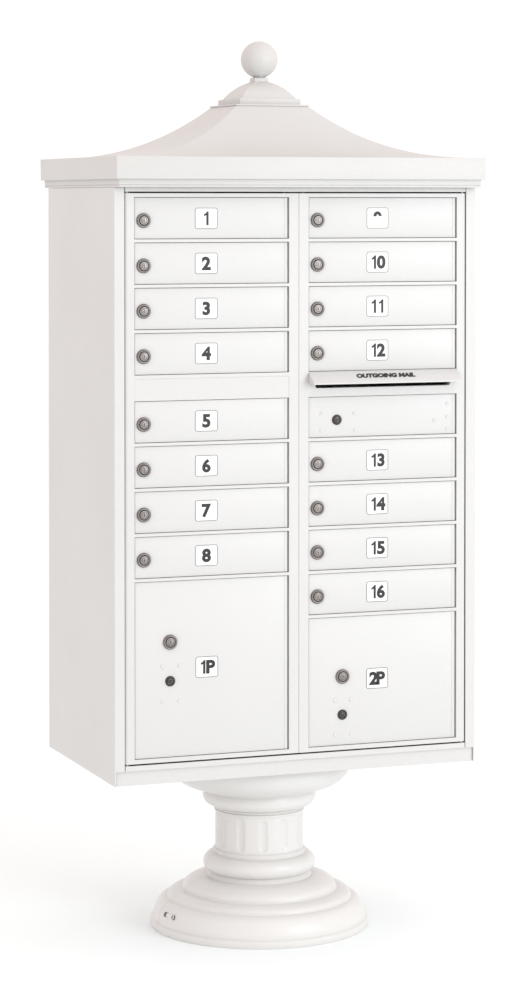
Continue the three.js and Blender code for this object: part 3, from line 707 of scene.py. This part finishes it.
def finialMesh():
    f = finial
    flat = math.sqrt(f["radius"] ** 2 - f["foot"] ** 2)
    centre = f["base"] + f["footHeight"] + flat - 0.5
    start = math.degrees(math.asin(-(flat - 0.6) / f["radius"]))
    profile = [(0, f["base"] - f["studDown"]), (f["stud"] - 1, f["base"] - f["studDown"])]
    profile += [(f["stud"], f["base"] - f["studDown"] + 1), (f["stud"], f["base"])]
    profile += [(f["foot"] - 0.6, f["base"]), (f["foot"], f["base"] + 0.6), (f["foot"], f["base"] + 1.4)]
    profile += arcPoints(0, centre, f["radius"], f["radius"], start, 90, 36)
    shape = Shape()
    shape.loft(turnedRows(profile, f["turns"]))
    return shape.mesh("finialBall")


addPiece("roofShell", roofShell(), [paint["roof"]], bodyOf["roof_cap"], ["roof_cap"])
addPiece("roofCupola", cupolaMesh(), [paint["roof"]], bodyOf["roof_cupola"], ["roof_cupola"])
addPiece("finialBall", finialMesh(), [paint["roof"]], bodyOf["finial_ball"], ["finial_ball"])
print("stage: roof")

# doors: a folded pan with a hinge barrel curled on its right edge
door = {
    "sheet": 2.5, "pan": 10.0, "barrel": 5.0, "bore": 2.4, "corner": 1.4, "round": 0.8,
    "bead": 0.5, "beadIn": 8.8,
}


def doorMesh(node):
    low, high = (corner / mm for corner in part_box(node))
    x0, x1, z0, z1, rear = low.x, high.x, low.z, high.z, high.y
    face, axisX, sheet, corner = rear - door["pan"], x1 - door["barrel"], door["sheet"], door["corner"]
    bead = x1 - door["beadIn"]
    front = arcPoints(x0 + corner, face + corner, corner, corner, 180, 270, 5)
    front += [(bead - 0.6, face), (bead - 0.3, face + door["bead"]), (bead + 0.3, face + door["bead"])]
    front += [(bead + 0.6, face), (axisX, face)]
    outline = front + [(axisX, face + sheet), (x0 + sheet, face + sheet), (x0 + sheet, rear), (x0, rear)]
    levels = ((z0, 0.8), (z0 + 0.25, 0.3), (z0 + 0.8, 0.0), (z1 - 0.8, 0.0), (z1 - 0.25, 0.3), (z1, 0.8))
    shape = Shape()
    rows = []
    for z, back in levels:
        row = []
        for i, (x, y) in enumerate(outline):
            shift = back * door["round"] if i < len(front) else 0.0
            row.append((x * mm, (y + shift) * mm, z * mm))
        rows.append(row)
    shape.loft(rows)
    for edge, inward in ((z0, 1), (z1, -1)):
        lipLow, lipHigh = sorted((edge + inward * 0.4, edge + inward * (0.4 + sheet)))
        left, right = x0 + sheet + 0.05, axisX - 3.0
        box = [(left, face + sheet), (right, face + sheet), (right, rear - 0.5)]
        box += [(right - 2, rear), (left, rear)]
        shape.loft([[(x * mm, y * mm, z * mm) for x, y in box] for z in (lipLow, lipHigh)])
    barrel = [(door["bore"], z0), (door["barrel"] - 0.4, z0), (door["barrel"], z0 + 0.4)]
    barrel += [(door["barrel"], z1 - 0.4), (door["barrel"] - 0.4, z1), (door["bore"], z1)]
    shape.loft(turnedRows(barrel, 28, axisX, face + door["barrel"]), closedLoft=True)
    return shape.mesh("door", 30.0)


# lock collars and plugs, by kind: head radius, collar radius, how far it stands proud, and its nickel
lockKinds = {
    "tenant": {"head": 9.0, "collar": 14.6, "proud": 5.0, "bright": True},
    "parcel": {"head": 9.4, "collar": 14.8, "proud": 5.0, "bright": True},
    "small": {"head": 6.8, "collar": 10.3, "proud": 3.5, "bright": False},
}
lockLook = {"turns": 40, "slot": (1.3, 7.4), "camWidth": 14.0, "camReach": 28.5, "cam": 3.0, "nut": 6.0}


def kindOf(node):
    if node.startswith("tenant"):
        return lockKinds["tenant"]
    return lockKinds["parcel" if node.startswith("parcel") else "small"]


def fromAxis(x, z):
    return lambda place: math.hypot(place.x / mm - x, place.z / mm - z)


def ringRows(profile, x, z, turns):
    return [[(a * mm, b * mm, c * mm) for a, b, c in circleAlongY(x, z, r, y, turns)] for r, y in profile]


def collarMesh(node, face):
    kind = kindOf(node)
    place = Vector(jointTo[bodyOf[node]]["pos_m"]) / mm
    outer, proud, bore = kind["collar"], kind["proud"], kind["head"] + 0.5
    depths = [
        (bore, 1.0), (outer, 1.0), (outer, -proud * 0.35), (outer - 0.3, -proud * 0.5),
        (outer - 1.0, -proud * 0.8), (outer - 1.7, -proud * 0.96), (outer - 2.4, -proud),
        (outer - 3.0, -proud), (outer - 3.5, -proud + 0.4), (bore + 0.5, -proud + 1.2), (bore, -proud + 1.6),
    ]
    shape = Shape()
    rows = ringRows([(r, face + d) for r, d in depths], place.x, place.z, lockLook["turns"])
    shape.loft(rows, closedLoft=True)
    return shape.mesh("collar", 40.0, ("fromAxis", fromAxis(place.x, place.z)))


def slotRow(x, z, y, turns):
    halfWidth, halfHeight = lockLook["slot"][0] / 2, lockLook["slot"][1] / 2
    row = []
    for i in range(turns):
        angle = 2 * math.pi * i / turns
        c, s = math.cos(angle), math.sin(angle)
        dx = halfWidth * math.copysign(abs(c) ** 0.35, c)
        dz = halfHeight * math.copysign(abs(s) ** 0.6, s)
        row.append(((x + dx) * mm, y * mm, (z + dz) * mm))
    return row


def camOutline(x, z, inset):
    half, reach = lockLook["camWidth"] / 2 - inset, lockLook["camReach"] - inset
    points = [(x + half * math.cos(a), z + half * math.sin(a)) for a in (math.pi * i / 12 for i in range(13))]
    for sx, start in ((-1, 180), (1, 270)):
        for i in range(4):
            angle = math.radians(start + 30 * i)
            points.append((x + sx * (half - 3) + 3 * math.cos(angle), z - reach + 3 + 3 * math.sin(angle)))
    return points


def lockMesh(node, face):
    kind, turns = kindOf(node), lockLook["turns"]
    low, high = (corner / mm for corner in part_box(node))
    place = Vector(jointTo[bodyOf[node]]["pos_m"]) / mm
    x, z, head, front = place.x, place.z, kind["head"], low.y
    camBack = high.y - 3.2
    camFront = camBack - lockLook["cam"]
    inner = head * 0.62
    profile = [
        (head - 0.3, camFront), (head - 0.3, face + 3.2),
        (head - 0.05, face + 3.0), (head - 0.05, front + 0.7),
        (head - 0.6, front + 0.15), (head - 1.3, front), (inner + 0.9, front), (inner + 0.5, front + 0.7),
        (inner, front + 0.7), (inner - 0.2, front + 0.1), (inner - 0.6, front),
    ]
    shape = Shape()
    rows = ringRows(profile, x, z, turns) + [slotRow(x, z, front, turns), slotRow(x, z, front + 3, turns)]
    # the keyway's walls and floor take the second finish, painted shade
    shape.loft(rows, caps=(0, 1), paints=[0] * (len(rows) - 2) + [1])
    edges = ((0.5, camFront), (0, camFront + 0.5), (0, camBack - 0.5), (0.5, camBack))
    shape.loft([[(a * mm, y * mm, b * mm) for a, b in camOutline(x, z, inset)] for inset, y in edges])
    nut = lockLook["nut"]
    edges = ((nut, camBack), (nut, camBack + 2.0), (nut - 0.7, camBack + 2.6))
    shape.loft([[(a * mm, b * mm, c * mm) for a, b, c in circleAlongY(x, z, r, y, 6)] for r, y in edges])
    tip = [(nut * 0.5, camBack + 2.6), (nut * 0.5, camBack + 2.9), (nut * 0.42, camBack + 3.2)]
    shape.loft(ringRows(tip, x, z, 16))
    return shape.mesh("lock", 34.0, ("fromAxis", fromAxis(x, z)))


# number plates: a thin dark edge round a white label, with raised numbers
plate = {
    "width": 47.0, "height": 41.5, "corner": 4.6, "edge": 1.1, "thick": 0.45, "label": 0.3,
    "inset": 149.1, "drop": 41.0,
}
figure = {"height": 27.2, "cell": 16.0, "wide": 1.04, "thick": 0.12, "bold": 1.85, "fontScale": 1.38}
# a parcel plate's place: in from the free edge, and down from the top
parcelPlates = {"parcel_door_1": (149.9, 173.6), "parcel_door_2": (149.1, 128.0)}


def plateMesh(x, z, face):
    p, steps = plate, 6

    def row(inset, y):
        half = roundedRectangle(p["width"] / 2 - inset, p["height"] / 2 - inset, p["corner"] - inset, steps)
        return [((x + a) * mm, y * mm, (z + b) * mm) for a, b in half]

    shape = Shape()
    rows = [row(0, face - 0.02), row(0, face - p["thick"] + 0.1), row(0.15, face - p["thick"])]
    rows += [row(p["edge"], face - p["thick"]), row(p["edge"] + 0.05, face - p["label"])]
    shape.loft(rows, caps=(0, 1))
    return shape.mesh("plate")


def textMesh(words, size, thick, bold, slant=0.0):
    curve = bpy.data.curves.new("letters", "FONT")
    curve.body, curve.size, curve.extrude = words, size * mm, thick * mm / 2
    curve.offset, curve.align_x, curve.align_y = bold * mm, "CENTER", "CENTER"
    curve.resolution_u, curve.shear = 6, slant
    holder = bpy.data.objects.new("letters", curve)
    bpy.context.scene.collection.objects.link(holder)
    mesh = bakedMesh(holder, "letters")
    mesh.materials.clear()
    work = bmesh.new()
    work.from_mesh(mesh)
    bmesh.ops.remove_doubles(work, verts=work.verts, dist=1e-6)
    bmesh.ops.recalc_face_normals(work, faces=work.faces)
    work.to_mesh(mesh)
    work.free()
    return mesh


def boxOf(mesh):
    corners = [vertex.co for vertex in mesh.vertices]
    return [(min(c[i] for c in corners), max(c[i] for c in corners)) for i in range(3)]


# the figure one: a stem with a flag at its top left, half a unit thick
def oneMesh(height, thick):
    flag = [(0.17, 0.0), (0.17, 1.0), (0.04, 1.0), (-0.05, 0.88)]
    flag += [(-0.19, 0.80), (-0.19, 0.655), (-0.01, 0.725), (-0.01, 0.0)]
    shape = Shape()
    rows = []
    for z in (-thick / 2, thick / 2):
        rows.append([(x * height * mm, y * height * mm, z * mm) for x, y in flag[::-1]])
    shape.loft(rows)
    return shape.mesh("one")


# figures side by side, each scaled to one height and centred in its cell
def figuresMesh(words, figure, matrix):
    work = bmesh.new()
    for i, letter in enumerate(words):
        height, thick = figure["height"], figure["thick"]
        if letter == "1":
            mesh = oneMesh(height, thick)
        else:
            mesh = textMesh(letter, height * figure["fontScale"], thick, figure["bold"])
        (x0, x1), (y0, y1), _ = boxOf(mesh)
        scale = height * mm / (y1 - y0)
        wide = figure["wide"] if letter != "1" else 1.0
        cell = (i - (len(words) - 1) / 2) * figure["cell"] * mm
        place = Matrix.Translation((cell, 0, 0)) @ Matrix.Diagonal((scale * wide, scale, 1, 1))
        mesh.transform(place @ Matrix.Translation((-(x0 + x1) / 2, -(y0 + y1) / 2, 0)))
        work.from_mesh(mesh)
    work.transform(matrix)
    joined = bpy.data.meshes.new("figures")
    work.to_mesh(joined)
    work.free()
    return joined


def facing(x, y, z, tilt=90.0):
    return Matrix.Translation(Vector((x, y, z)) * mm) @ Matrix.Rotation(math.radians(tilt), 4, "X")


def plateFor(node, face, low, high):
    body = bodyOf[node]
    if node in parcelPlates:
        inset, drop = parcelPlates[node]
        words = node[-1] + "P"
    else:
        inset, drop = plate["inset"], plate["drop"]
        words = str(int(node[-2:]))
    x, z = low.x + inset, high.z - drop
    addPiece("plate_" + words, plateMesh(x, z, face), [plateEdge, plateWhite], body)
    digits = figuresMesh(words, figure, facing(x, face - plate["label"] - figure["thick"] / 2, z))
    addPiece("number_" + words, digits, [numberInk], body)


# flush rivets and screws, set out from a list of points
def studTree():
    tree = bpy.data.node_groups.new("studHeads", "GeometryNodeTree")
    tree.interface.new_socket("Geometry", in_out="OUTPUT", socket_type="NodeSocketGeometry")
    tree.interface.new_socket("Geometry", in_out="INPUT", socket_type="NodeSocketGeometry")
    names = ("Head radius", "Head height", "Size change")
    for name in names:
        tree.interface.new_socket(name, in_out="INPUT", socket_type="NodeSocketFloat")
    tree.interface.new_socket("Seed", in_out="INPUT", socket_type="NodeSocketInt")
    tree.interface.new_socket("Finish", in_out="INPUT", socket_type="NodeSocketMaterial")
    graph = Graph(tree)
    given = tree.nodes.new("NodeGroupInput")
    value = {name: Value(tree, given.outputs[name]) for name in ("Geometry", "Seed", "Finish", *names)}
    headShape = {"Segments": 16, "Rings": 9, "Radius": 1.0}
    ball = graph.node("GeometryNodeMeshUVSphere", sockets=headShape, out="Mesh")
    size = graph.node(
        "ShaderNodeCombineXYZ",
        sockets={"X": value["Head radius"], "Y": value["Head height"], "Z": value["Head radius"]},
    )
    head = graph.node("GeometryNodeTransform", sockets={"Geometry": ball, "Scale": size})
    head = graph.node("GeometryNodeSetShadeSmooth", sockets={"Geometry": head})
    change = graph.node(
        "FunctionNodeRandomValue", {"data_type": "FLOAT"},
        {"Min_001": 1.0 - value["Size change"], "Max_001": value["Size change"] + 1.0, "Seed": value["Seed"]},
        "Value_001",
    )
    spread = {"Points": value["Geometry"], "Instance": head, "Scale": change}
    copies = graph.node("GeometryNodeInstanceOnPoints", sockets=spread)
    whole = graph.node("GeometryNodeRealizeInstances", sockets={"Geometry": copies})
    dressed = graph.node("GeometryNodeSetMaterial", sockets={"Geometry": whole, "Material": value["Finish"]})
    result = tree.nodes.new("NodeGroupOutput")
    tree.links.new(dressed.socket, result.inputs["Geometry"])
    return tree


rivets = {
    "radius": 4.2, "height": 1.5, "sizeChange": 0.04,
    "parcel": ((-16.0, -48.2), (19.0, -48.2), (-16.0, -118.2), (19.0, -118.2)),  # from the parcel lock's axis
    "outgoing": ((-33.5, 12.0), (38.7, 12.3), (-33.4, -21.4), (39.8, -21.7)),  # from the outgoing lock's axis
    "outgoingRight": ((214.9, -6.6), (243.4, -0.4), (243.3, 26.6), (243.5, -25.1)),
}
studs = studTree()


def rivetsFor(node, face, lockNode, spots):
    place = Vector(jointTo[bodyOf[lockNode]]["pos_m"]) / mm
    mesh = bpy.data.meshes.new("rivetSpots")
    mesh.from_pydata([((place.x + dx) * mm, face * mm, (place.z + dz) * mm) for dx, dz in spots], [], [])
    piece = bpy.data.objects.new("rivetSpots", mesh)
    bpy.context.scene.collection.objects.link(piece)
    inputs = {
        "Head radius": rivets["radius"] * mm, "Head height": rivets["height"] * mm,
        "Size change": rivets["sizeChange"], "Seed": 7, "Finish": paint["door"],
    }
    addTree(piece, studs, inputs)
    baked = bakedMesh(piece, "rivets")
    baked.materials.clear()
    addPiece("rivets_" + node, baked, [paint["door"]], bodyOf[node])


def isDoor(node):
    return node.startswith(("tenant_door_", "parcel_door_")) or node == "outgoing_mail_door"


doorNodes = sorted(filter(isDoor, frame["nodes"]))
locksIn = {node: [] for node in doorNodes}
for joint in frame["joints"]:
    if joint["child"].startswith("lock_"):
        doorNode = behaviour["bodies"][joint["parent"]][0]
        locksIn[doorNode].append(behaviour["bodies"][joint["child"]][0])

for node in doorNodes:
    low, high = (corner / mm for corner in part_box(node))
    face = high.y - door["pan"]
    addPiece("skin_" + node, doorMesh(node), [paint["door"]], bodyOf[node], [node])
    for lockNode in locksIn[node]:
        metal = nickel if kindOf(lockNode)["bright"] else darkNickel
        addPiece("collar_" + lockNode, collarMesh(lockNode, face), [metal], bodyOf[node])
        lock = lockMesh(lockNode, face)
        addPiece("plug_" + lockNode, lock, [metal, paintedKeywayShade], bodyOf[lockNode], [lockNode])
    if node != "outgoing_mail_door":
        plateFor(node, face, low, high)
for number in "12":
    node = "parcel_door_" + number
    rivetsFor(node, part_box(node)[1].y / mm - door["pan"], "parcel_lock_" + number, rivets["parcel"])
node = "outgoing_mail_door"
spots = rivets["outgoing"] + rivets["outgoingRight"]
rivetsFor(node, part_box(node)[1].y / mm - door["pan"], "outgoing_mail_lock", spots)
print("stage: doors, locks and number plates")

# hood over the outgoing slot, bent from one sheet
hood = {
    "sheet": 2.0, "lip": 2.5,
    "label": "OUTGOING MAIL", "labelX": 183.0, "labelWidth": 128.0, "labelHeight": 13.5, "labelAbove": 0.7,
}


def hoodMesh():
    low, high = (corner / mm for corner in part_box("outgoing_mail_hood"))
    sheet, lip = hood["sheet"], hood["lip"]
    fall = (high.z - low.z - lip) / (high.y - low.y)
    thick = sheet * math.hypot(1, fall)
    outline = [(high.y, high.z), (high.y - 0.5, high.z - 0.1)]
    outline += [(low.y + 1.2, low.z + lip + 1.2 * fall), (low.y + 0.4, low.z + lip - 0.1)]
    outline += [(low.y, low.z + lip - 0.8), (low.y, low.z + 0.5), (low.y + 0.5, low.z)]
    outline += [(low.y + sheet - 0.5, low.z), (low.y + sheet, low.z + 0.5)]
    outline += [(low.y + sheet, low.z + lip + sheet * fall - thick), (high.y, high.z - thick)]
    shape = Shape()
    ends = ((low.x, 0.35), (low.x + 0.35, 0), (high.x - 0.35, 0), (high.x, 0.35))
    middle = Vector(((low.y + high.y) / 2, (low.z + high.z) / 2))

    def row(x, pull, points):
        return [(x * mm, (y + pull * (y < middle.x) * 0.6) * mm, (z - pull * 0.6) * mm) for y, z in points]

    shape.loft([row(x, pull, outline) for x, pull in ends])
    cheek = [(high.y, high.z - thick), (low.y + sheet, low.z + lip + sheet * fall - thick)]
    cheek += [(low.y + sheet, low.z + 0.4), (high.y, low.z + 0.4)]
    for x in (low.x, high.x - sheet):
        shape.loft([row(x + 0.05, 0, cheek), row(x + sheet - 0.05, 0, cheek)])
    return shape.mesh("hood", 28.0), low, high, fall


hoodShape, hoodLow, hoodHigh, hoodFall = hoodMesh()
hoodBody = bodyOf["outgoing_mail_hood"]
addPiece("hood", hoodShape, [paint["door"]], hoodBody, ["outgoing_mail_hood"])
tilt = math.degrees(math.atan(hoodFall))
labelY = (hoodLow.y + hoodHigh.y) / 2 + 2.0
labelZ = hoodHigh.z - (hoodHigh.y - labelY) * hoodFall + hood["labelAbove"]
words = textMesh(hood["label"], 14.0, 0.12, 0.9, 0.25)
(wordsLeft, wordsRight), (wordsLow, wordsTop), _ = boxOf(words)
stretch = hood["labelWidth"] * mm / (wordsRight - wordsLeft), hood["labelHeight"] * mm / (wordsTop - wordsLow)
words.transform(Matrix.Translation((-(wordsLeft + wordsRight) / 2, -(wordsLow + wordsTop) / 2, 0)))
words.transform(facing(hood["labelX"], labelY, labelZ, tilt) @ Matrix.Diagonal((*stretch, 1, 1)))
addPiece("hoodLabel", words, [numberInk], hoodBody)
print("stage: hood")

# CAD pieces that keep their shape: merged, edges eased, and given a finish
kept = {
    "side_panel_left": ("cabinet", 0.7), "side_panel_right": ("cabinet", 0.7), "back_panel": ("cabinet", 0.7),
    "top_panel": ("cabinet", 0.4), "floor_panel": ("cabinet", 0.5),
    "loading_frame_left": ("cabinet", 0.45), "loading_frame_right": ("cabinet", 0.45),
    "compartment_rack_left": (rackMetal, 0.2), "compartment_rack_right": (rackMetal, 0.2),
    "pedestal_post": ("postPaint", 0.8), "latch_bar_left": (barMetal, 0.3), "latch_bar_right": (barMetal, 0.3),
    "door_hinge_rod_left": (barMetal, 0), "door_hinge_rod_right": (barMetal, 0),
}
for node, (finish, ease) in kept.items():
    piece = frame["nodes"][node]
    material = paint[finish] if isinstance(finish, str) else finish
    for slot in piece.material_slots:
        slot.link = "OBJECT"
        slot.material = material
    if ease:
        weld = piece.modifiers.new("weld", "WELD")
        weld.merge_threshold = 1e-5
        bevel = piece.modifiers.new("ease", "BEVEL")
        bevel.width, bevel.segments, bevel.limit_method = ease * mm, 2, "ANGLE"
        bevel.angle_limit = math.radians(40)
        bevel.use_clamp_overlap = True
print("stage: kept pieces,", pieceCount, "pieces added")

# floor
floorFinish = Finish("studioFloor")
cloud = floorFinish.noise(0.7, 2.0)
floorColour = floorFinish.mix(cloud * 0.5, (0.94, 0.985, 0.99), (0.93, 0.975, 0.98))
floorFinish.done(floorColour, 0.9 + (cloud - 0.5) * 0.05)
half = studio["floorHalf"]
floorMesh = bpy.data.meshes.new("studioFloor")
corners = [(-half, -half, 0), (half, -half, 0), (half, half, 0), (-half, half, 0)]
floorMesh.from_pydata(corners, [], [(0, 1, 2, 3)])
floorMesh.materials.append(floorFinish.material)
floor = bpy.data.objects.new("studioFloor", floorMesh)
bpy.context.scene.collection.objects.link(floor)

print("stage: done")
